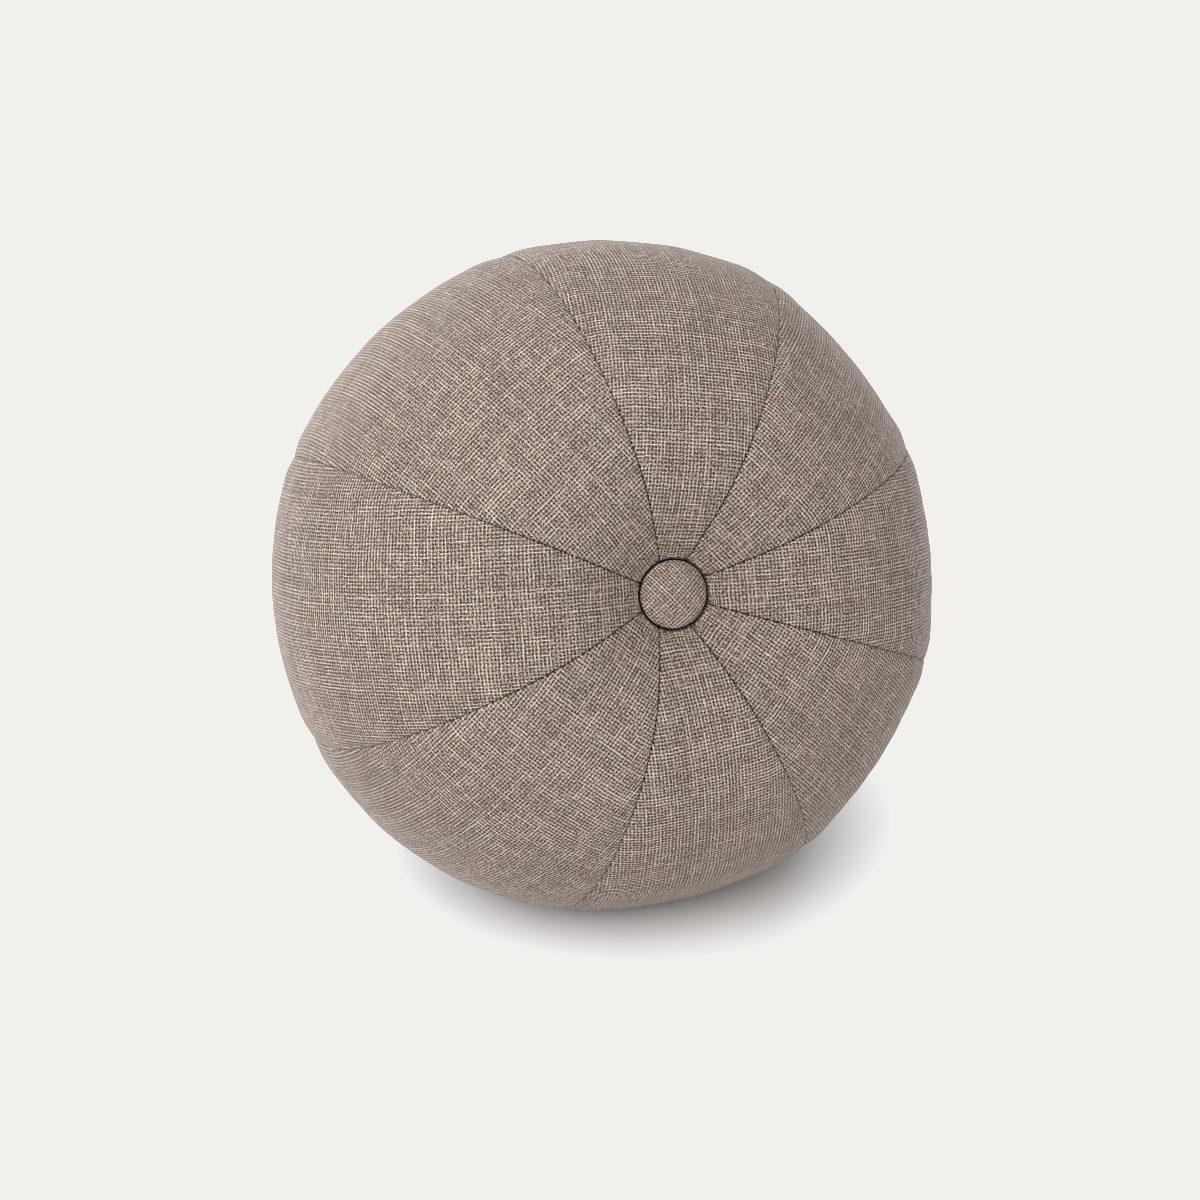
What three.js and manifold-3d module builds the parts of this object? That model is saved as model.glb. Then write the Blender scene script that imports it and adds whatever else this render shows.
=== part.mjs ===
// Ball cushion: a filled round cushion sewn from eight cloth gores, buttoned at the front and at the back.
// Millimetres, +Z up. The ball lies on its flat spot at z = 0, with its front button turned towards -Y.
import * as THREE from "three";
import { mergeVertices } from "three/addons/utils/BufferGeometryUtils.js";
import Module from "manifold-3d";

const wasm = await Module();
wasm.setup();

const DEGREE = Math.PI / 180;
const FULL_TURN = 2 * Math.PI;

// Ball
const BALL_RADIUS = 150;
const THICKNESS_RATIO = 0.84; // half thickness at the buttons, over the radius, before the buttons draw it in
const PROFILE_POWER = 2.25; // 2 is an ellipse, and more gives fuller shoulders
const GORE_FLATTENING = 0.08; // how far a gore's section lies from the round arc towards the straight chord

// Seams, in order round the button axis, seen from the front and counted from the right
const SEAMS = [
  // angle: degrees round the axis; stray: degrees that it strays by at the button
  // reach: how far it stands out at the widest section; crown: how far the middle of the gore after it does
  { angle: 24, stray: 4, reach: -1.8, crown: -2.2 },
  { angle: 63, stray: 6, reach: 2.3, crown: 0 },
  { angle: 107.5, stray: 6, reach: 1.1, crown: -0.2 },
  { angle: 158.5, stray: 3, reach: 0.3, crown: 0.5 },
  { angle: 209, stray: -3, reach: 1, crown: 2.5 },
  { angle: 260, stray: -14, reach: 2, crown: -1.4 },
  { angle: 303.5, stray: -3, reach: 3.6, crown: -1.2 },
  { angle: 344.5, stray: -1, reach: 1.1, crown: -1.3 },
];
const STRAY_LENGTH = 15; // the stray fades over this length from the button's edge
const REACH_POWER = 3; // the higher, the closer to the widest section the unevenness keeps
const CHANNEL_DEPTH = 1.5;
const CHANNEL_HALF_WIDTH = 4;

// Draw of the buttons
const DIMPLE_DEPTH = 25.5;
const DIMPLE_WIDTH = 35;
const DIMPLE_POWER = 1.5; // 2 is a round bowl, and 1 a cone
const SEAT_RADIUS = 13.4;
const LIP_RADIUS = 19;
const LIP_HEIGHT = 3;

// Covered button
const BUTTON_RADIUS = 14.5;
const BUTTON_BASE_RADIUS = 12.2;
const BUTTON_EDGE_HEIGHT = 2.8;
const BUTTON_DOME_HEIGHT = 4.6;
const SEAT_GAP = 0.3;

// How the ball lies
const AXIS_TURN = 17.2 * DEGREE; // the front button looks this far to the right of -Y
const AXIS_RISE = 21.2 * DEGREE; // and this far above the level
const CENTRE = { x: 0.7, y: 0.1, z: 141.5 }; // x and y bring the uneven ball's box over the origin
const FLOOR_BLEND = 2.5; // height over which the cloth rounds into the flat spot
const FLAT_TRIM = 0.3; // the cloth settles this far below the floor before it is trimmed level

// Facets
const COLUMNS = 12; // in each gore
const SEAM_CLUSTERING = 0.85; // 0 spaces the columns evenly, and 1 gathers them most at the seams
const RINGS = 20; // from a button's lip to the widest section
const BUTTON_SIDES = 40;
const BUTTON_EDGE_STEPS = 3;
const BUTTON_DOME_STEPS = 6;
const MERGE_DISTANCE = 1e-3;

const smoothstep = THREE.MathUtils.smoothstep;

// Height of the ball's face above its middle plane, at a distance from the button axis.
function faceHeight(distance) {
  const d = Math.max(distance, SEAT_RADIUS);
  const bare = THICKNESS_RATIO * BALL_RADIUS * (1 - (d / BALL_RADIUS) ** PROFILE_POWER) ** (1 / PROFILE_POWER);
  const dimple = DIMPLE_DEPTH * Math.exp(-((d / DIMPLE_WIDTH) ** DIMPLE_POWER));
  const lip = LIP_HEIGHT * (1 - smoothstep(d, SEAT_RADIUS, LIP_RADIUS));
  return bare - dimple - lip;
}

// Distances from the button axis of the rings of one face, from the button to the widest section.
function ringDistances() {
  const lip = [1 / 3, 2 / 3].map((part) => THREE.MathUtils.lerp(SEAT_RADIUS, LIP_RADIUS, part));
  const start = Math.asin((LIP_RADIUS / BALL_RADIUS) ** (PROFILE_POWER / 2));
  const face = [];
  for (let i = 0; i <= RINGS; i += 1) {
    const angle = THREE.MathUtils.lerp(start, Math.PI / 2, i / RINGS);
    face.push(BALL_RADIUS * Math.sin(angle) ** (2 / PROFILE_POWER));
  }
  return [0, SEAT_RADIUS / 2, SEAT_RADIUS, ...lip, ...face];
}

// Section of the ball from the back button to the front one, as the lathe turns it.
function ballProfile() {
  const front = ringDistances().map((d) => new THREE.Vector2(d, d < BALL_RADIUS ? faceHeight(d) : 0));
  const back = front.slice(0, -1).map((p) => new THREE.Vector2(p.x, -p.y));
  return [...back, ...front.reverse()];
}

// A seam by its place in the order, which runs on past a full turn, and its angle at a distance from the axis.
function seamAt(index) {
  return SEAMS[index % SEAMS.length];
}

function seamAngle(index, distance) {
  const seam = seamAt(index);
  const fading = Math.exp(Math.min(0, BUTTON_RADIUS - distance) / STRAY_LENGTH);
  return (seam.angle + seam.stray * fading) * DEGREE + (index >= SEAMS.length ? FULL_TURN : 0);
}

// Moves a point of the round lathed ball to where it lies on its gore: flatter across, and drawn in at the seams.
function sewPoint(point) {
  const distance = Math.hypot(point.x, point.y);
  if (distance < MERGE_DISTANCE) return point;
  const turn = THREE.MathUtils.euclideanModulo(Math.atan2(point.y, point.x) / FULL_TURN, 1) * SEAMS.length;
  const gore = Math.floor(turn + MERGE_DISTANCE);
  const even = 2 * (turn - gore) - 1;
  const across = (1 - SEAM_CLUSTERING) * even + SEAM_CLUSTERING * Math.sin((even * Math.PI) / 2);
  const start = seamAngle(gore, distance);
  const half = (seamAngle(gore + 1, distance) - start) / 2;
  const angle = start + half * (1 + across);

  const chord = Math.cos(half) / Math.cos(half * across);
  const flattened = distance * (1 - GORE_FLATTENING + GORE_FLATTENING * chord);
  const reach = THREE.MathUtils.lerp(seamAt(gore).reach, seamAt(gore + 1).reach, (1 + across) / 2);
  const crown = seamAt(gore).crown * (1 - across ** 2);
  const uneven = flattened + (reach + crown) * (distance / BALL_RADIUS) ** REACH_POWER;

  const toSeam = distance * half * (1 - Math.abs(across));
  const opening = smoothstep(distance, SEAT_RADIUS, 2 * LIP_RADIUS);
  const channel = CHANNEL_DEPTH * opening * Math.exp(-((toSeam / CHANNEL_HALF_WIDTH) ** 2));
  const inward = new THREE.Vector2(uneven, point.z).normalize().multiplyScalar(channel);
  const drawn = uneven - inward.x;
  return new THREE.Vector3(drawn * Math.cos(angle), drawn * Math.sin(angle), point.z - inward.y);
}

// Lowest cloth gives way: above the blend a height stays, and below it the cloth flattens.
function settle(height) {
  const above = height + FLAT_TRIM;
  if (above >= FLOOR_BLEND) return height;
  if (above <= -FLOOR_BLEND) return -FLAT_TRIM;
  return (above + FLOOR_BLEND) ** 2 / (4 * FLOOR_BLEND) - FLAT_TRIM;
}

// Turns the button axis from +Z to where the front button looks, with the right side kept level.
function layingMatrix() {
  const front = new THREE.Vector3(
    Math.sin(AXIS_TURN) * Math.cos(AXIS_RISE),
    -Math.cos(AXIS_TURN) * Math.cos(AXIS_RISE),
    Math.sin(AXIS_RISE),
  );
  const right = new THREE.Vector3(1, 0, 0).addScaledVector(front, -front.x).normalize();
  const up = new THREE.Vector3().crossVectors(front, right);
  return new THREE.Matrix4().makeBasis(right, up, front).setPosition(CENTRE.x, CENTRE.y, CENTRE.z);
}

// Joins the shared points of a closed geometry and drops the facets that close up on a pole.
function closedGeometry(geometry) {
  geometry.deleteAttribute("normal");
  geometry.deleteAttribute("uv");
  const merged = mergeVertices(geometry, MERGE_DISTANCE);
  const kept = [];
  for (let i = 0; i < merged.index.count; i += 3) {
    const [a, b, c] = [0, 1, 2].map((k) => merged.index.getX(i + k));
    if (a !== b && b !== c && c !== a) kept.push(a, b, c);
  }
  merged.setIndex(kept);
  return merged;
}

// Turns a profile of distance and height about +Z.
function turnProfile(profile, sides) {
  return closedGeometry(new THREE.LatheGeometry(profile, sides).rotateX(Math.PI / 2));
}

function movePoints(geometry, move) {
  const position = geometry.getAttribute("position");
  const point = new THREE.Vector3();
  for (let i = 0; i < position.count; i += 1) {
    const moved = move(point.fromBufferAttribute(position, i));
    position.setXYZ(i, moved.x, moved.y, moved.z);
  }
  return geometry;
}

// Trims the settled cloth at the floor, so that the flat spot is one true plane.
function trimAtFloor(geometry) {
  const slab = new THREE.BoxGeometry(4 * BALL_RADIUS, 4 * BALL_RADIUS, BALL_RADIUS);
  slab.translate(0, 0, -BALL_RADIUS / 2);
  const trimmed = solidOf(geometry).subtract(solidOf(closedGeometry(slab)));
  const mesh = trimmed.getMesh();
  const result = new THREE.BufferGeometry();
  result.setAttribute("position", new THREE.BufferAttribute(mesh.vertProperties, mesh.numProp));
  result.setIndex(new THREE.BufferAttribute(mesh.triVerts, 1));
  return result;
}

function solidOf(geometry) {
  return new wasm.Manifold(
    new wasm.Mesh({
      numProp: 3,
      vertProperties: new Float32Array(geometry.getAttribute("position").array),
      triVerts: new Uint32Array(geometry.index.array),
    }),
  );
}

function makeBall() {
  const laying = layingMatrix();
  const ball = turnProfile(ballProfile(), SEAMS.length * COLUMNS);
  movePoints(ball, (point) => {
    const laid = sewPoint(point).applyMatrix4(laying);
    return laid.setZ(settle(laid.z));
  });
  return ball;
}

// Section of a covered button that stands on z = 0: a rounded edge under a shallow dome.
function buttonProfile() {
  const profile = [new THREE.Vector2(0, 0)];
  for (let i = 0; i <= BUTTON_EDGE_STEPS; i += 1) {
    const angle = (i / BUTTON_EDGE_STEPS) * (Math.PI / 2);
    const reach = BUTTON_BASE_RADIUS + (BUTTON_RADIUS - BUTTON_BASE_RADIUS) * Math.sin(angle);
    profile.push(new THREE.Vector2(reach, BUTTON_EDGE_HEIGHT * (1 - Math.cos(angle))));
  }
  for (let i = 1; i <= BUTTON_DOME_STEPS; i += 1) {
    const angle = (i / BUTTON_DOME_STEPS) * (Math.PI / 2);
    const reach = i < BUTTON_DOME_STEPS ? BUTTON_RADIUS * Math.cos(angle) : 0;
    profile.push(new THREE.Vector2(reach, BUTTON_EDGE_HEIGHT + BUTTON_DOME_HEIGHT * Math.sin(angle)));
  }
  return profile;
}

function makeMesh(name, geometry, colour) {
  const material = new THREE.MeshStandardMaterial({ color: colour, roughness: 0.93, metalness: 0 });
  const mesh = new THREE.Mesh(geometry, material);
  mesh.name = name;
  return mesh;
}

// A button seated on the front face, or on the back one when it is turned over.
function makeButton(name, turnedOver) {
  const button = makeMesh(name, turnProfile(buttonProfile(), BUTTON_SIDES), "#91847a");
  const seat = new THREE.Group();
  seat.rotation.x = turnedOver ? Math.PI : 0;
  button.position.z = faceHeight(0) + SEAT_GAP;
  seat.add(button);
  return seat;
}

const buttons = new THREE.Group();
buttons.applyMatrix4(layingMatrix());
buttons.add(makeButton("front_button", false));
buttons.add(makeButton("back_button", true));

const group = new THREE.Group();
group.add(makeMesh("ball_cover", trimAtFloor(makeBall()), "#94877d"));
group.add(buttons);

export default group;
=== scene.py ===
"""Ball cushion: a filled ball of eight woven gores, drawn in by a covered button at its front and its back.

Metres, +Z up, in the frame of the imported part. The ball lies on its flat spot at z = 0.
"""

import math

import bmesh
import bpy
import numpy as np
from mathutils import Matrix, Vector


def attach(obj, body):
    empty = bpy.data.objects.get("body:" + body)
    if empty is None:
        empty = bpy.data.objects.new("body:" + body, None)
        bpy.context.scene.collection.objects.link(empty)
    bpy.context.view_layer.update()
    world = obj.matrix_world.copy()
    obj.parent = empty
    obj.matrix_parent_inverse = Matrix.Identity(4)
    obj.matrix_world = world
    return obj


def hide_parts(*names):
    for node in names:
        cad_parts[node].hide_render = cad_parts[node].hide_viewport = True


MM = 0.001

# Ball, as in the solids
BALL_RADIUS = 150 * MM
THICKNESS_RATIO = 0.84
PROFILE_POWER = 2.25
GORE_FLATTENING = 0.08

# Seams, in order round the button axis, seen from the front and counted from the right
# angle and stray are in degrees, reach and crown in millimetres
SEAMS = [
    {"angle": 24, "stray": 4, "reach": -1.8, "crown": -2.2},
    {"angle": 63, "stray": 6, "reach": 2.3, "crown": 0},
    {"angle": 107.5, "stray": 6, "reach": 1.1, "crown": -0.2},
    {"angle": 158.5, "stray": 3, "reach": 0.3, "crown": 0.5},
    {"angle": 209, "stray": -3, "reach": 1, "crown": 2.5},
    {"angle": 260, "stray": -14, "reach": 2, "crown": -1.4},
    {"angle": 303.5, "stray": -3, "reach": 3.6, "crown": -1.2},
    {"angle": 344.5, "stray": -1, "reach": 1.1, "crown": -1.3},
]
STRAY_LENGTH = 15 * MM
REACH_POWER = 3
CHANNEL_DEPTH = 1.1 * MM
CHANNEL_HALF_WIDTH = 4 * MM
CHANNEL_START = 38 * MM

# Draw of the buttons
DIMPLE_DEPTH = 25.5 * MM
DIMPLE_WIDTH = 35 * MM
DIMPLE_POWER = 1.5
SEAT_RADIUS = 14.5 * MM
LIP_RADIUS = 16.0 * MM
LIP_HEIGHT = 3.4 * MM
SEAT_GAP = 0.3 * MM

# How the ball lies
AXIS_TURN = math.radians(17.2)
AXIS_RISE = math.radians(21.2)
CENTRE = Vector((0.7 * MM, 0.1 * MM, 141.5 * MM))
FLOOR_BLEND = 2.5 * MM

# Grid of the cloth: columns across a gore and rings from a button to the widest section
COLUMNS = 20
SEAM_CLUSTERING = 0.85
SEAT_RINGS = 3
LIP_RINGS = 6
FACE_RINGS = 52
MERIDIAN_STEPS = 4000
# A point counts as on the axis, or as on a seam, within these distances
ON_AXIS = 1e-6
ON_SEAM = 1e-7

# Filling: how far the cloth starts drawn in, how hard it is filled, how much it stretches
# and how far it may swell
DRAWN_IN = 1.2 * MM
FILLING_PRESSURE = 15
CLOTH_STRETCH = 0.005
FILLING_FRAMES = 16
SWELL_LIMIT = 3 * MM
# The hold on the cloth fades out over this width from a seam or a lip, and over this height from the floor
HOLD_WIDTH = 20 * MM
HOLD_HEIGHT = 12 * MM
HOLD_POWER = 4

# Sewn line
SEAM_CUTS = 3
STITCH_LENGTH = 3.2 * MM
GROOVE_DEPTH = 0.65 * MM
GROOVE_NIP = 0.25
GROOVE_HALF_WIDTH = 0.5 * MM

# Pleats where the cloth is drawn under the button
PLEATS = 52
PLEAT_HEIGHT = 0.4 * MM
PLEAT_LENGTH = 3.5 * MM
PLEAT_SIDE = math.radians(-50)
PLEAT_ONE_SIDEDNESS = 0.45
PLEAT_CROWDS = 5
PLEAT_CROWDING = 1.5

# Covered button
BUTTON_RADIUS = 14.5 * MM
BUTTON_BASE_RADIUS = 12.2 * MM
BUTTON_EDGE_HEIGHT = 2.8 * MM
BUTTON_DOME_HEIGHT = 4.6 * MM
BUTTON_SIDES = 128
BUTTON_EDGE_STEPS = 8
BUTTON_DOME_STEPS = 28
# Its weave is turned on it, runs on down its side and lies closer one way than the other
BUTTON_WEAVE_TURN = math.radians(45)
BUTTON_WEAVE_SIDE = 0.25
BUTTON_WEAVE_CLOSENESS = 1.25
# The painted shade where the button's cloth goes under its edge fades out between these heights on its side
TUCK_SHADE_LOW = 0.5 * BUTTON_EDGE_HEIGHT
TUCK_SHADE_HIGH = 1.1 * BUTTON_EDGE_HEIGHT

# Weave: from thread to thread across a gore and along it
PITCH_ACROSS = 1.55 * MM
PITCH_ALONG = 1.63 * MM

# Names of what the cover's and the buttons' points carry for the cloth
GORE_MAP = "cloth_lie"
TO_SEAM = "to_seam"
ALONG_SEAM = "along_seam"
FROM_AXIS = "from_axis"
# The buttons' points carry a mask of painted shade under their edges
TUCKED_SHADE_MASK = "tucked_shade"

# Camera, as the photograph was taken. Its lens and its sensor are in millimetres
CAMERA_DISTANCE = 1.5
CAMERA_RISE = math.radians(27)
CAMERA_LENS = 99.3
CAMERA_SENSOR = 36
CAMERA_REACH = 100
CAMERA_AIM = Vector((0, 0, 140 * MM))
CAMERA_SHIFT = (-0.0022, -0.0192)


def eased(share):
    return share * share * (3 - 2 * share)


def smoothstep(value, low, high):
    return eased(min(max((value - low) / (high - low), 0), 1))


# Shape of the ball


def face_height(distance):
    """Height of the face above the ball's middle plane, at a distance from the button axis."""
    d = max(distance, SEAT_RADIUS)
    full = (1 - min(d / BALL_RADIUS, 1) ** PROFILE_POWER) ** (1 / PROFILE_POWER)
    dimple = DIMPLE_DEPTH * math.exp(-((d / DIMPLE_WIDTH) ** DIMPLE_POWER))
    lip = LIP_HEIGHT * (1 - smoothstep(d, SEAT_RADIUS, LIP_RADIUS))
    return THICKNESS_RATIO * BALL_RADIUS * full - dimple - lip


def measure_meridian():
    """Distance from the axis, height and length along the cloth, from the front pole to the rim."""
    angles = np.linspace(0, math.pi / 2, MERIDIAN_STEPS)
    distance = BALL_RADIUS * np.sin(angles) ** (2 / PROFILE_POWER)
    height = np.array([face_height(d) for d in distance])
    steps = np.hypot(np.diff(distance), np.diff(height))
    return distance, height, np.concatenate([[0], np.cumsum(steps)])


MERIDIAN_DISTANCE, MERIDIAN_HEIGHT, MERIDIAN_LENGTH = measure_meridian()
MERIDIAN_ANGLE = np.arctan2(MERIDIAN_DISTANCE, MERIDIAN_HEIGHT / THICKNESS_RATIO)
RIM_LENGTH = MERIDIAN_LENGTH[-1]


def ring_lengths():
    """Length along the cloth from the nearer pole to each ring, closest together at the button's lip."""
    seat, lip = np.interp([SEAT_RADIUS, LIP_RADIUS], MERIDIAN_DISTANCE, MERIDIAN_LENGTH)
    under = np.linspace(0, seat, SEAT_RINGS, endpoint=False)
    drawn = np.linspace(seat, lip, LIP_RINGS, endpoint=False)
    face = np.linspace(lip, RIM_LENGTH, FACE_RINGS + 1)
    return np.concatenate([under, drawn, face])


def seam_at(index):
    return SEAMS[index % len(SEAMS)]


def seam_angle(index, distance):
    """Angle of a seam round the button axis, at a distance from that axis."""
    seam = seam_at(index)
    fading = math.exp(min(0, BUTTON_RADIUS - distance) / STRAY_LENGTH)
    turns = index // len(SEAMS)
    return math.radians(seam["angle"] + seam["stray"] * fading) + math.tau * turns


def gore_span(gore, distance):
    """Angle of a gore's middle and half of the angle that it spans, at a distance from the button axis."""
    start = seam_angle(gore, distance)
    half = (seam_angle(gore + 1, distance) - start) / 2
    return start + half, half


def across_gore(column):
    """Place of a column on its gore, from -1 at one seam to 1 at the next, closest at the seams."""
    even = 2 * column / COLUMNS - 1
    return (1 - SEAM_CLUSTERING) * even + SEAM_CLUSTERING * math.sin(even * math.pi / 2)


def sewn_place(gore, across, distance, height):
    """Place of a point of the cloth, on its gore's flatter middle or in a seam's shallow channel."""
    middle, half = gore_span(gore, distance)
    chord = math.cos(half) / math.cos(half * across)
    flattening = GORE_FLATTENING * smoothstep(distance, LIP_RADIUS, CHANNEL_START)
    flattened = distance * (1 - flattening + flattening * chord)
    here, after = seam_at(gore), seam_at(gore + 1)
    reach = here["reach"] + (after["reach"] - here["reach"]) * (1 + across) / 2
    crown = here["crown"] * (1 - across**2)
    uneven = flattened + (reach + crown) * MM * (distance / BALL_RADIUS) ** REACH_POWER
    to_seam = distance * half * (1 - abs(across))
    opening = smoothstep(distance, SEAT_RADIUS, CHANNEL_START)
    channel = CHANNEL_DEPTH * opening * math.exp(-((to_seam / CHANNEL_HALF_WIDTH) ** 2))
    inward = Vector((uneven, height)).normalized() * channel
    angle = middle + half * across
    drawn = uneven - inward.x
    return Vector((drawn * math.cos(angle), drawn * math.sin(angle), height - inward.y))


def cloth_lie(gore, across, distance, height):
    """Place of a point on its gore laid flat, across from its middle and along from the front pole."""
    middle, half = gore_span(gore, distance)
    turn = half * across
    u = BALL_RADIUS * math.asin(min(distance / BALL_RADIUS, 1) * math.sin(turn))
    polar = math.atan2(distance * math.cos(turn), abs(height) / THICKNESS_RATIO)
    length = float(np.interp(polar, MERIDIAN_ANGLE, MERIDIAN_LENGTH))
    return u, length if height >= 0 else 2 * RIM_LENGTH - length


def laying_matrix():
    """From the ball's own axes, its front button along +Z, to how it lies on the floor."""
    front = Vector(
        (
            math.sin(AXIS_TURN) * math.cos(AXIS_RISE),
            -math.cos(AXIS_TURN) * math.cos(AXIS_RISE),
            math.sin(AXIS_RISE),
        )
    )
    right = (Vector((1, 0, 0)) - front * front.x).normalized()
    up = front.cross(right)
    turned = Matrix((right, up, front)).transposed().to_4x4()
    return Matrix.Translation(CENTRE) @ turned


LAYING = laying_matrix()


def settled(height):
    """Height of the cloth over the floor, which it meets with a rounded edge."""
    if height >= FLOOR_BLEND:
        return height
    if height <= -FLOOR_BLEND:
        return 0
    return (height + FLOOR_BLEND) ** 2 / (4 * FLOOR_BLEND)


# Cover


def cover_grid():
    """The cloth's grid as a round ball, with each vertex's ring and column told by its place."""
    rings = 2 * (SEAT_RINGS + LIP_RINGS + FACE_RINGS)
    bm = bmesh.new()
    bmesh.ops.create_uvsphere(bm, u_segments=COLUMNS * len(SEAMS), v_segments=rings, radius=1)
    return bm, rings


def cover_mesh():
    """The cover as sewn, before it is filled, with its weave's lie and its distance from the seams."""
    bm, rings = cover_grid()
    lie = bm.loops.layers.uv.new(GORE_MAP)
    to_seam = bm.verts.layers.float.new(TO_SEAM)
    along = bm.verts.layers.float.new(ALONG_SEAM)
    from_axis = bm.verts.layers.float.new(FROM_AXIS)
    lengths = ring_lengths()
    columns = COLUMNS * len(SEAMS)
    grid = {}
    for vert in bm.verts:
        ring = round(math.acos(max(-1, min(1, vert.co.z))) / math.pi * rings)
        column = round(math.atan2(vert.co.y, vert.co.x) / math.tau * columns) % columns
        length = float(lengths[min(ring, rings - ring)])
        distance = float(np.interp(length, MERIDIAN_LENGTH, MERIDIAN_DISTANCE))
        height = float(np.interp(length, MERIDIAN_LENGTH, MERIDIAN_HEIGHT))
        grid[vert] = (column, distance, height if ring <= rings / 2 else -height)
    for face in bm.faces:
        middle = face.calc_center_median()
        gore = int(math.atan2(middle.y, middle.x) / math.tau % 1 * len(SEAMS))
        for loop in face.loops:
            column, distance, height = grid[loop.vert]
            place = (column - gore * COLUMNS) % columns
            across = 0 if distance < ON_AXIS else across_gore(place)
            loop[lie].uv = cloth_lie(gore, across, distance, height)
    for vert, (column, distance, height) in grid.items():
        gore = column // COLUMNS
        across = across_gore(column % COLUMNS)
        half = gore_span(gore, distance)[1]
        vert[to_seam] = distance * half * (1 - abs(across))
        vert[along] = cloth_lie(gore, 0, distance, height)[1]
        vert[from_axis] = distance
        vert.co = LAYING @ sewn_place(gore, across, distance, height)
        vert.co.z = settled(vert.co.z)
    mesh = bpy.data.meshes.new("ball_cushion_cover")
    bm.to_mesh(mesh)
    bm.free()
    return mesh


def vectors(mesh, name):
    """The places of a mesh's vertices, under the name co, or their normals, under the name normal."""
    found = np.zeros(len(mesh.vertices) * 3, np.float32)
    mesh.vertices.foreach_get(name, found)
    return found.reshape(-1, 3).astype(float)


def attribute(mesh, name):
    found = np.zeros(len(mesh.vertices), np.float32)
    mesh.attributes[name].data.foreach_get("value", found)
    return found.astype(float)


def put(mesh, points):
    mesh.vertices.foreach_set("co", points.astype(np.float32).ravel())
    mesh.update()


def fill(cover):
    """The cover swells under its filling. It is held at its seams, its seats and its flat spot."""
    mesh = cover.data
    sewn = vectors(mesh, "co")
    free = eased(np.clip(attribute(mesh, TO_SEAM) / HOLD_WIDTH, 0, 1))
    free *= np.clip((attribute(mesh, FROM_AXIS) - LIP_RADIUS) / HOLD_WIDTH, 0, 1)
    free *= np.clip(sewn[:, 2] / HOLD_HEIGHT, 0, 1)
    slack = sewn - vectors(mesh, "normal") * (free * DRAWN_IN)[:, None]
    put(mesh, slack)
    held = cover.vertex_groups.new(name="held")
    for index, share in enumerate(free):
        held.add([index], float(1 - share) ** HOLD_POWER, "REPLACE")
    cloth = cover.modifiers.new("filling", "CLOTH")
    settings = cloth.settings
    settings.quality = 5
    settings.mass = 0.0005
    settings.shrink_min = -CLOTH_STRETCH
    settings.tension_stiffness = 5
    settings.compression_stiffness = 5
    settings.shear_stiffness = 2
    settings.bending_stiffness = 0.05
    settings.use_pressure = True
    settings.uniform_pressure_force = FILLING_PRESSURE
    settings.vertex_group_mass = held.name
    settings.effector_weights.gravity = 0
    cloth.point_cache.frame_end = FILLING_FRAMES
    scene = bpy.context.scene
    for frame_number in range(1, FILLING_FRAMES + 1):
        scene.frame_set(frame_number)
    graph = bpy.context.evaluated_depsgraph_get()
    filled = vectors(cover.evaluated_get(graph).data, "co")
    cover.modifiers.remove(cloth)
    cover.vertex_groups.clear()
    scene.frame_set(1)
    swell = filled - slack
    size = np.linalg.norm(swell, axis=1, keepdims=True)
    swell *= np.minimum(1, SWELL_LIMIT / np.maximum(size, 1e-9))
    put(mesh, slack + swell)


def refine(cover):
    """One subdivision of the filled cover, and finer columns beside each seam."""
    finer = cover.modifiers.new("finer", "SUBSURF")
    finer.levels = finer.render_levels = 1
    finer.uv_smooth = "NONE"
    graph = bpy.context.evaluated_depsgraph_get()
    mesh = bpy.data.meshes.new_from_object(cover.evaluated_get(graph))
    cover.modifiers.remove(finer)
    bm = bmesh.new()
    bm.from_mesh(mesh)
    to_seam = bm.verts.layers.float[TO_SEAM]
    touching = []
    for edge in bm.edges:
        first, second = (vert[to_seam] < ON_SEAM for vert in edge.verts)
        if first != second:
            touching.append(edge)
    bmesh.ops.subdivide_edges(bm, edges=touching, cuts=SEAM_CUTS, use_grid_fill=True)
    bm.to_mesh(mesh)
    bm.free()
    old = cover.data
    name = old.name
    cover.data = mesh
    bpy.data.meshes.remove(old)
    mesh.name = name


def pleats(points, from_axis):
    """Depth of the small pleats round each button, deepest on the side that takes most of the cloth."""
    own = (points - np.array(CENTRE)) @ np.array(LAYING.to_3x3())
    turn = np.arctan2(own[:, 1], own[:, 0])
    fold = 0.5 - 0.5 * np.cos(PLEATS * turn + PLEAT_CROWDING * np.sin(PLEAT_CROWDS * turn))
    side = 1 - PLEAT_ONE_SIDEDNESS + PLEAT_ONE_SIDEDNESS * np.cos(turn - PLEAT_SIDE)
    reach = np.exp(-((np.maximum(from_axis - LIP_RADIUS, 0) / PLEAT_LENGTH) ** 2))
    return PLEAT_HEIGHT * fold * side * reach * (from_axis > SEAT_RADIUS)


def sew(cover):
    """The fine groove along each seam, nipped at each stitch, and the pleats round the buttons."""
    mesh = cover.data
    points = vectors(mesh, "co")
    outward = vectors(mesh, "normal")
    to_seam = attribute(mesh, TO_SEAM)
    along = attribute(mesh, ALONG_SEAM)
    stitch = 0.5 + 0.5 * np.cos(along / STITCH_LENGTH * math.tau)
    depth = GROOVE_DEPTH * (1 - GROOVE_NIP + GROOVE_NIP * stitch)
    groove = depth * np.exp(-((to_seam / GROOVE_HALF_WIDTH) ** 2))
    points -= outward * (groove + pleats(points, attribute(mesh, FROM_AXIS)))[:, None]
    points[:, 2] = np.maximum(points[:, 2], 0)
    put(mesh, points)


# Buttons


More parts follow.
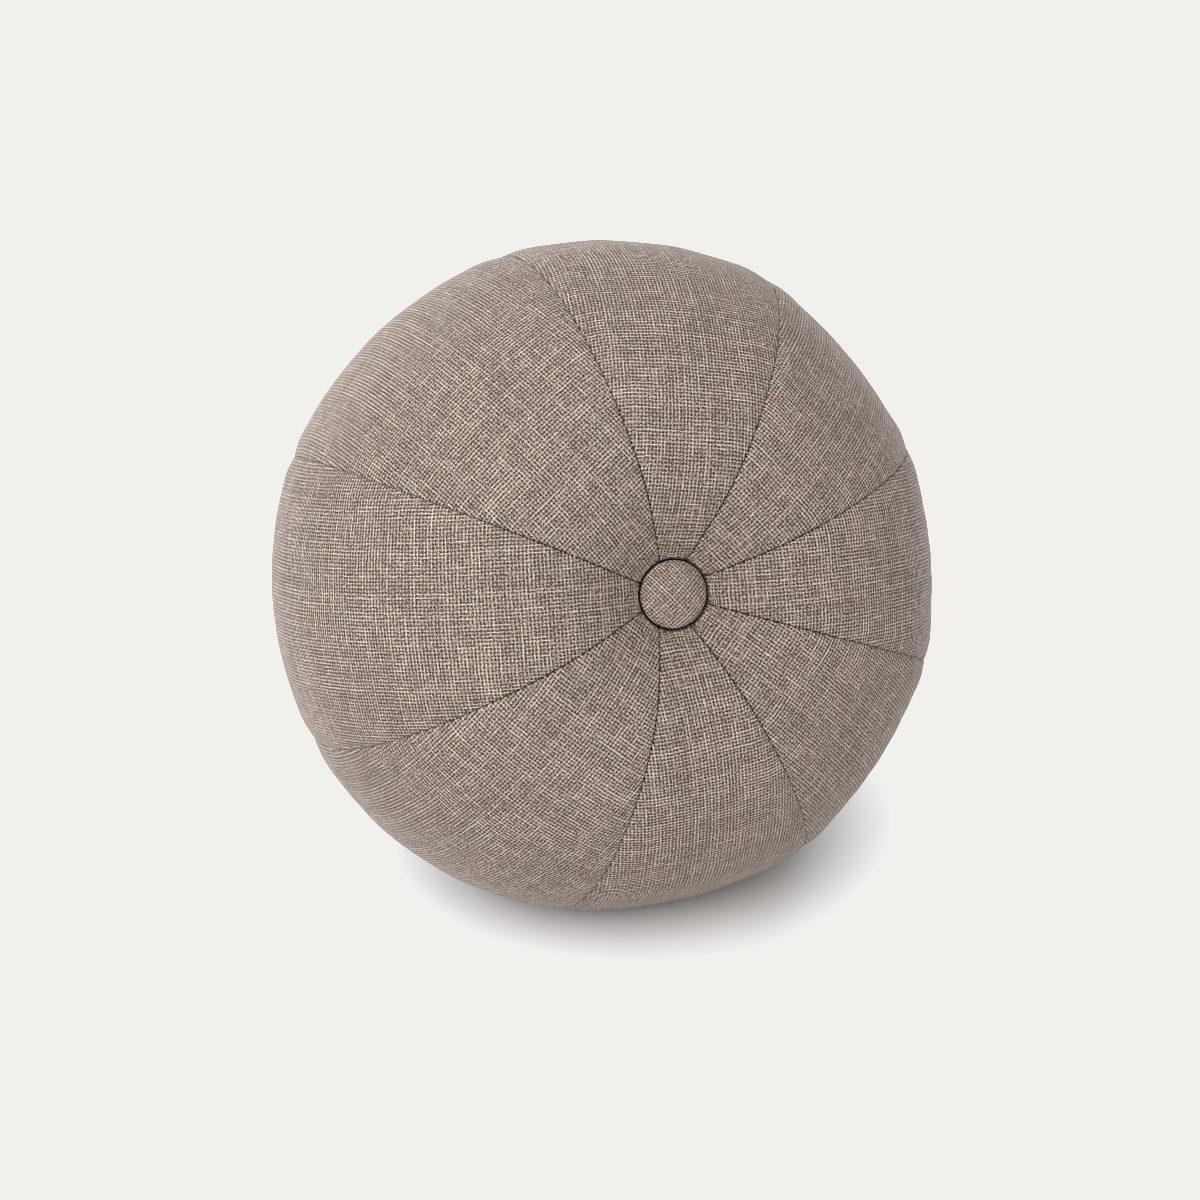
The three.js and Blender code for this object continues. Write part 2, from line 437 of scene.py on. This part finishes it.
def button_bmesh():
    """A covered button on +Z: its rounded edge, then its dome, turned about its axis."""
    bm = bmesh.new()
    line = [(0, 0), (BUTTON_BASE_RADIUS / 2, 0)]
    for step in range(BUTTON_EDGE_STEPS + 1):
        turn = math.pi / 2 * step / BUTTON_EDGE_STEPS
        reach = BUTTON_BASE_RADIUS + (BUTTON_RADIUS - BUTTON_BASE_RADIUS) * math.sin(turn)
        line.append((reach, BUTTON_EDGE_HEIGHT * (1 - math.cos(turn))))
    for step in range(1, BUTTON_DOME_STEPS + 1):
        turn = math.pi / 2 * step / BUTTON_DOME_STEPS
        height = BUTTON_EDGE_HEIGHT + BUTTON_DOME_HEIGHT * math.sin(turn)
        line.append((BUTTON_RADIUS * math.cos(turn), height))
    verts = [bm.verts.new((x, 0, z)) for x, z in line]
    edges = [bm.edges.new(pair) for pair in zip(verts, verts[1:])]
    bmesh.ops.spin(
        bm,
        geom=verts + edges,
        cent=(0, 0, 0),
        axis=(0, 0, 1),
        angle=math.tau,
        steps=BUTTON_SIDES,
        use_merge=True,
    )
    bmesh.ops.remove_doubles(bm, verts=bm.verts, dist=1e-6)
    bmesh.ops.recalc_face_normals(bm, faces=bm.faces)
    return bm


def make_button(name, front, material):
    """A covered button on its seat, at the ball's front or at its back."""
    bm = button_bmesh()
    lie = bm.loops.layers.uv.new(GORE_MAP)
    tucked_shade = bm.verts.layers.float.new(TUCKED_SHADE_MASK)
    crown = BUTTON_EDGE_HEIGHT + BUTTON_DOME_HEIGHT
    # Painted shade low on the button's side, where its cloth goes under the edge
    for vert in bm.verts:
        vert[tucked_shade] = 1 - smoothstep(vert.co.z, TUCK_SHADE_LOW, TUCK_SHADE_HIGH)
    for face in bm.faces:
        for loop in face.loops:
            x, y, z = loop.vert.co
            reach = math.hypot(x, y) * (1 + BUTTON_WEAVE_SIDE * (crown - z) / BUTTON_RADIUS)
            turn = math.atan2(y, x) + BUTTON_WEAVE_TURN
            loop[lie].uv = (reach * math.cos(turn), BUTTON_WEAVE_CLOSENESS * reach * math.sin(turn))
    seat = Matrix.Translation((0, 0, face_height(0) + SEAT_GAP))
    side = Matrix.Identity(4) if front else Matrix.Rotation(math.pi, 4, "X")
    bmesh.ops.transform(bm, matrix=LAYING @ side @ seat, verts=bm.verts)
    mesh = bpy.data.meshes.new(name)
    bm.to_mesh(mesh)
    bm.free()
    return finished(name, mesh, material)


def finished(name, mesh, material):
    """An object at the origin, shaded smooth, in its material."""
    mesh.materials.append(material)
    mesh.shade_smooth()
    piece = bpy.data.objects.new(name, mesh)
    bpy.context.scene.collection.objects.link(piece)
    return piece


# Cloth


def paint(red, green, blue):
    """A colour given as on a screen, 0 to 255, as light."""
    parts = [value / 255 for value in (red, green, blue)]
    light = [p / 12.92 if p <= 0.04045 else ((p + 0.055) / 1.055) ** 2.4 for p in parts]
    return (*light, 1)


class Dye:
    """The nodes of one material, wired by short calls."""

    def __init__(self, name):
        self.material = bpy.data.materials.new(name)
        self.material.use_nodes = True
        self.tree = self.material.node_tree
        self.tree.nodes.clear()

    def node(self, kind, inputs=None, **settings):
        node = self.tree.nodes.new("ShaderNode" + kind)
        for name, value in settings.items():
            setattr(node, name, value)
        for socket, value in (inputs or {}).items():
            if isinstance(value, bpy.types.NodeSocket):
                self.tree.links.new(value, node.inputs[socket])
            else:
                node.inputs[socket].default_value = value
        return node

    def calc(self, operation, *values):
        return self.node("Math", dict(enumerate(values)), operation=operation).outputs[0]

    def fit(self, value, low, high, to_low=0.0, to_high=1.0, smooth=True):
        kind = "SMOOTHSTEP" if smooth else "LINEAR"
        names = {"Value": value, "From Min": low, "From Max": high, "To Min": to_low, "To Max": to_high}
        return self.node("MapRange", names, interpolation_type=kind).outputs[0]

    def swing(self, value, width):
        """A value from 0 to 1 as a swing of this width about 0."""
        return self.calc("MULTIPLY_ADD", value, width, -width / 2)

    def tint(self, share, first, second, kind="MIX"):
        node = self.node("Mix", {0: share, 6: first, 7: second}, data_type="RGBA", blend_type=kind)
        return node.outputs[2]

    def noise(self, vector, scale, detail, roughness=0.5):
        names = {"Vector": vector, "Scale": scale, "Detail": detail, "Roughness": roughness}
        return self.node("TexNoise", names, noise_dimensions="3D").outputs

    def spots(self, vector, *kind):
        return self.noise(vector, *kind)["Fac"]

    def separate_spots(self, vector, *kind):
        """Three noises of one kind that have nothing to do with each other."""
        return self.node("SeparateColor", {0: self.noise(vector, *kind)["Color"]}).outputs

    def carried(self, name):
        """What each point of the mesh carries under a name."""
        return self.node("Attribute", attribute_name=name).outputs["Fac"]

    def join(self, x, y=0.0):
        return self.node("CombineXYZ", {0: x, 1: y}).outputs[0]

    def streaks(self, row, run, apart, scale, detail):
        """Noise drawn out along each thread, and different from thread to thread."""
        place = self.join(self.calc("MULTIPLY", row, apart), self.calc("MULTIPLY", run, scale))
        return self.spots(place, 1.0, detail)


YARN = paint(186, 172, 160)
GAP = paint(54, 42, 34)
BUTTON_SHADE = paint(128, 115, 106)
# Dark of the sewn line, partly painted shade in its groove, and of the painted shade under the buttons'
# edges
SEAM_AND_SHADE_DARK = paint(28, 14, 7)
FUZZ_TINT = paint(226, 214, 208)
RUDDY_CAST = (1.012, 0.995, 0.995, 1)
GREEN_CAST = (0.99, 1.003, 0.995, 1)

# Noises along a thread: how far apart one thread's is from the next's, its steps in a metre and its detail
SLUBS = (9.0, 85.0, 1.5)
FIBRES = (21.0, 700.0, 2.0)
PALE_LENGTHS = (33.0, 65.0, 1.0)

# Noises over the cloth: their steps in a metre, their detail and, for the clouds, their roughness
WANDER = (30.0, 1.0)
SHAKE = (450.0, 1.0)
BALANCE = (32.0, 2.0)
CLOUDS = (160.0, 3.0, 0.6)
FUZZ = (1400.0, 2.0)
CAST = (60.0, 2.0)

# Ranges: a noise's low and high end, and what the low and the high end are turned into
LEANNESS = (0.28, 0.72, 1.6, 0.6)
PALENESS = (0.58, 0.72, 0.0, 0.5)
LEAD = (0.3, 0.7, -0.16, 0.16)
CLOUDING = (0.3, 0.7, 0.85, 1.12)
CASTING = (0.35, 0.65, 0.0, 1.0)

# How far the threads' places swing
WANDER_WIDTH = 1.0 * MM
SHAKE_WIDTH = 0.5 * MM

# How much the threads cover, and how far that swings from thread to thread, along them and in the fuzz
THREAD_STRENGTH = 0.58
THREAD_SWING = 0.22
FIBRE_SWING = 0.9
FUZZ_SWING = 2.1

# Powers that narrow a pale thread's core, and that set the crests off from the gaps
CORE_POWER = 6.0
GRAIN_POWER = 1.9

# Steps of the seed from one thread to the next and between the two sets of threads
THREAD_SEED = 0.37
SET_SEED = 40.0

# Looks beside the seams and round the buttons, mostly painted shade: a distance's low and high end, and the
# share at each
# Share of painted shade in the crevice under a button's edge
TUCK_SHADE_STRENGTH = 0.9
# The dark sewn line: the seam's own joint, partly painted shade in its groove
SEWN_LINE_AND_SHADE = (0.05 * MM, 0.4 * MM, 1.0, 0.0)
LINE_FADING = (50 * MM, 145 * MM, 1.0, 0.55)
# Painted shade in the dimple round a button, and the weave drawn open there
OPEN_WEAVE_AND_DIMPLE_SHADE = (LIP_RADIUS, 60 * MM, 0.2, 0.0)
# Painted shade in the crevice where the cloth goes under a button's edge
TUCKED_UNDER_SHADE = (SEAT_RADIUS + 0.5 * MM, LIP_RADIUS, TUCK_SHADE_STRENGTH, 0.0)

# How the sewn line wavers: in steps to a metre, and how far
LINE_STEPS = 800.0
LINE_SWING = 1.8 * MM

# How far a button's colour goes to its shade
BUTTON_SHADING = 0.08


def thread(dye, axis, lie, bend, lead, batch):
    """How much one set of the weave's threads covers the cloth at a place, from 0 in a gap to 1 on a crest.

    axis 0 holds the threads that run along the gore, axis 1 those that run across it. lead is how much
    this set lies over the other one.
    """
    pitch = (PITCH_ACROSS, PITCH_ALONG)[axis]
    count = dye.calc("DIVIDE", dye.calc("ADD", lie[axis], bend), pitch)
    number = dye.calc("FLOOR", count)
    row = dye.calc("MULTIPLY_ADD", number, THREAD_SEED, batch + SET_SEED * axis)
    run = lie[1 - axis]
    own = dye.node("TexWhiteNoise", {"W": row}, noise_dimensions="1D").outputs["Value"]
    wave = dye.calc("COSINE", dye.calc("MULTIPLY", count, math.tau))
    body = dye.calc("MULTIPLY_ADD", wave, -0.5, 0.5)
    leanness = dye.fit(dye.streaks(row, run, *SLUBS), *LEANNESS)
    covering = dye.calc("POWER", body, leanness)
    strength = dye.calc("MULTIPLY_ADD", own, THREAD_SWING, THREAD_STRENGTH - THREAD_SWING / 2)
    strength = dye.calc("ADD", strength, lead)
    fibre = dye.swing(dye.streaks(row, run, *FIBRES), FIBRE_SWING)
    covering = dye.calc("MULTIPLY", covering, dye.calc("ADD", strength, fibre))
    paleness = dye.fit(dye.streaks(row, run, *PALE_LENGTHS), *PALENESS)
    core = dye.calc("MULTIPLY", dye.calc("POWER", body, CORE_POWER), paleness)
    covering = dye.calc("MAXIMUM", dye.calc("ADD", covering, core), 0.0)
    return dye.calc("MINIMUM", covering, 1.0)


def weave(dye, batch):
    """Colour and height of the plain weave. batch sets one piece's threads apart from another's."""
    lie = dye.node("UVMap", uv_map=GORE_MAP).outputs[0]
    apart = dye.node("VectorMath", {0: lie, 1: (batch, 0, batch)}, operation="ADD").outputs[0]
    wander = dye.separate_spots(apart, *WANDER)
    shake = dye.separate_spots(apart, *SHAKE)
    axes = dye.node("SeparateXYZ", {0: lie}).outputs
    balance = dye.fit(dye.spots(apart, *BALANCE), *LEAD, smooth=False)
    open_gap = 1.0
    for axis in (0, 1):
        wandering = dye.swing(wander[axis], WANDER_WIDTH)
        bend = dye.calc("ADD", wandering, dye.swing(shake[axis], SHAKE_WIDTH))
        lead = dye.calc("MULTIPLY", balance, (1.0, -1.0)[axis])
        covering = thread(dye, axis, axes, bend, lead, batch)
        open_gap = dye.calc("MULTIPLY", open_gap, dye.calc("SUBTRACT", 1.0, covering))
    height = dye.calc("SUBTRACT", 1.0, open_gap)
    fuzz = dye.swing(dye.spots(apart, *FUZZ), FUZZ_SWING)
    shown = dye.calc("ADD", dye.calc("POWER", height, GRAIN_POWER), fuzz)
    shown = dye.calc("MAXIMUM", shown, 0.0)
    clouding = dye.fit(dye.spots(apart, *CLOUDS), *CLOUDING, smooth=False)
    shown = dye.calc("MULTIPLY", shown, clouding)
    colour = dye.tint(shown, GAP, YARN)
    cast = dye.fit(dye.separate_spots(apart, *CAST)[1], *CASTING)
    colour = dye.tint(1.0, colour, dye.tint(cast, RUDDY_CAST, GREEN_CAST), "MULTIPLY")
    return colour, height


def finish_cloth(dye, colour, height):
    """The cloth's dull, slightly fuzzy surface over its colour and its threads' height."""
    bump = dye.node("Bump", {"Strength": 0.6, "Distance": 0.35 * MM, "Height": height}).outputs[0]
    inputs = {
        "Base Color": colour,
        "Roughness": 0.92,
        "Specular IOR Level": 0.15,
        "Sheen Weight": 0.25,
        "Sheen Roughness": 0.32,
        "Sheen Tint": FUZZ_TINT,
        "Normal": bump,
    }
    surface = dye.node("BsdfPrincipled", inputs).outputs[0]
    dye.node("OutputMaterial", {"Surface": surface})
    return dye.material


def gore_cloth():
    """The gores' woven cloth, with the dark sewn line in the bottom of each seam, partly painted shade, and
    painted shade round the buttons.
    """
    dye = Dye("gore_cloth")
    colour, height = weave(dye, 0.0)
    # The dark sewn line, partly painted shade in the seam's groove
    nips = dye.spots(dye.join(dye.calc("MULTIPLY", dye.carried(ALONG_SEAM), LINE_STEPS)), 1.0, 2.0)
    place = dye.calc("ADD", dye.carried(TO_SEAM), dye.swing(nips, LINE_SWING))
    from_axis = dye.carried(FROM_AXIS)
    line = dye.calc("MULTIPLY", dye.fit(place, *SEWN_LINE_AND_SHADE), dye.fit(from_axis, *LINE_FADING))
    colour = dye.tint(line, colour, SEAM_AND_SHADE_DARK)
    # Painted shade in the dimple round the button, and the weave drawn open there
    colour = dye.tint(dye.fit(from_axis, *OPEN_WEAVE_AND_DIMPLE_SHADE), colour, GAP)
    # Painted shade in the crevice where the cloth goes under the button's edge
    colour = dye.tint(dye.fit(from_axis, *TUCKED_UNDER_SHADE), colour, SEAM_AND_SHADE_DARK)
    return finish_cloth(dye, colour, height)


def button_cloth():
    """The same cloth on the buttons, a shade darker, with painted shade where it goes under their edges."""
    dye = Dye("button_cloth")
    colour, height = weave(dye, 7.0)
    colour = dye.tint(BUTTON_SHADING, colour, BUTTON_SHADE)
    # Painted shade low on the button's side, under its edge
    tucked_shade = dye.calc("MULTIPLY", dye.carried(TUCKED_SHADE_MASK), TUCK_SHADE_STRENGTH)
    colour = dye.tint(tucked_shade, colour, SEAM_AND_SHADE_DARK)
    return finish_cloth(dye, colour, height)


# Floor, light and camera

BACKDROP = paint(241, 240, 236)
FLOOR_COLOUR = (0.90, 0.895, 0.885, 1)
FLOOR_HALF_SIDE = 20
ROOM_LIGHT = 0.05
KEY_LIGHT = 1.95
KEY_COLOUR = (1.015, 1, 0.975)
KEY_WIDTH = math.radians(54)
KEY_PLACE = Vector((-0.03, -0.72, 0.69))
SIDE_LIGHT = 5.8
SIDE_COLOUR = (0.965, 1, 1.045)
SIDE_WIDTH = math.radians(170)
SIDE_PLACE = Vector((-0.8, 0.2, 0.56))


def floor_paint():
    """The floor's matt paint."""
    dye = Dye("pale_floor")
    inputs = {"Base Color": FLOOR_COLOUR, "Roughness": 1, "Specular IOR Level": 0}
    surface = dye.node("BsdfPrincipled", inputs).outputs[0]
    dye.node("OutputMaterial", {"Surface": surface})
    return dye.material


def make_floor():
    bm = bmesh.new()
    bmesh.ops.create_grid(bm, x_segments=1, y_segments=1, size=FLOOR_HALF_SIDE)
    mesh = bpy.data.meshes.new("floor")
    bm.to_mesh(mesh)
    bm.free()
    floor = finished("floor", mesh, floor_paint())


def make_light():
    """A dim room seen as a pale backdrop, a soft key lamp in front and a broad cooler one on the left."""
    world = bpy.data.worlds.new("studio")
    bpy.context.scene.world = world
    world.use_nodes = True
    tree = world.node_tree
    room = tree.nodes["Background"]
    room.inputs["Color"].default_value = BACKDROP
    seen = tree.nodes.new("ShaderNodeLightPath")
    glow = tree.nodes.new("ShaderNodeMapRange")
    glow.inputs["To Min"].default_value = ROOM_LIGHT
    tree.links.new(seen.outputs["Is Camera Ray"], glow.inputs["Value"])
    tree.links.new(glow.outputs[0], room.inputs["Strength"])
    lamps = (
        ("key", KEY_LIGHT, KEY_COLOUR, KEY_WIDTH, KEY_PLACE),
        ("side", SIDE_LIGHT, SIDE_COLOUR, SIDE_WIDTH, SIDE_PLACE),
    )
    for name, energy, colour, width, place in lamps:
        light = bpy.data.lights.new(name, "SUN")
        light.energy = energy
        light.color = colour
        light.angle = width
        lamp = bpy.data.objects.new(name, light)
        lamp.rotation_mode = "QUATERNION"
        lamp.rotation_quaternion = (-place).to_track_quat("-Z", "Y")
        bpy.context.scene.collection.objects.link(lamp)


def hold_whites():
    """The brightest floor is held at the photograph's pale backdrop, as a studio picture's is."""
    view = bpy.context.scene.view_settings
    view.view_transform = "Standard"
    view.use_curve_mapping = True
    mapping = view.curve_mapping
    mapping.extend = "HORIZONTAL"
    for curve, white in zip(mapping.curves, BACKDROP):
        curve.points[0].location = (0, 0)
        curve.points[1].location = (white, white)
        curve.points.new(1, white)
        for point in curve.points:
            point.handle_type = "VECTOR"
    mapping.update()


def make_camera():
    camera = bpy.data.cameras.new("camera")
    camera.lens = CAMERA_LENS
    camera.sensor_width = CAMERA_SENSOR
    camera.shift_x, camera.shift_y = CAMERA_SHIFT
    camera.clip_end = CAMERA_REACH
    seen = bpy.data.objects.new("camera", camera)
    back = Vector((0, -math.cos(CAMERA_RISE), math.sin(CAMERA_RISE)))
    seen.location = CAMERA_AIM + back * CAMERA_DISTANCE
    seen.rotation_mode = "QUATERNION"
    seen.rotation_quaternion = (-back).to_track_quat("-Z", "Y")
    bpy.context.scene.collection.objects.link(seen)
    bpy.context.scene.camera = seen
    # A narrow pixel filter keeps single threads as crisp as the photograph shows them
    bpy.context.scene.cycles.filter_width = 1.0


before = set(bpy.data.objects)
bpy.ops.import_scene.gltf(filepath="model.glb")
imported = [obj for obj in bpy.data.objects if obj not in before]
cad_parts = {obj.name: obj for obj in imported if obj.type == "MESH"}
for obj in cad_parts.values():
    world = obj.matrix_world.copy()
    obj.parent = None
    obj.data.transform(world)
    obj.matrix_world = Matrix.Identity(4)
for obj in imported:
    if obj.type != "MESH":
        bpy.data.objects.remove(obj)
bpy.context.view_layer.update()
hold_whites()
make_camera()
make_light()
make_floor()

cover = finished("cover", cover_mesh(), gore_cloth())
fill(cover)
refine(cover)
sew(cover)
cover.data.shade_smooth()
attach(cover, "root")
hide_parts("ball_cover")

cloth_of_buttons = button_cloth()
for name, node, front in (("button_front", "front_button", True), ("button_back", "back_button", False)):
    button = make_button(name, front, cloth_of_buttons)
    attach(button, "root")
    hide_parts(node)
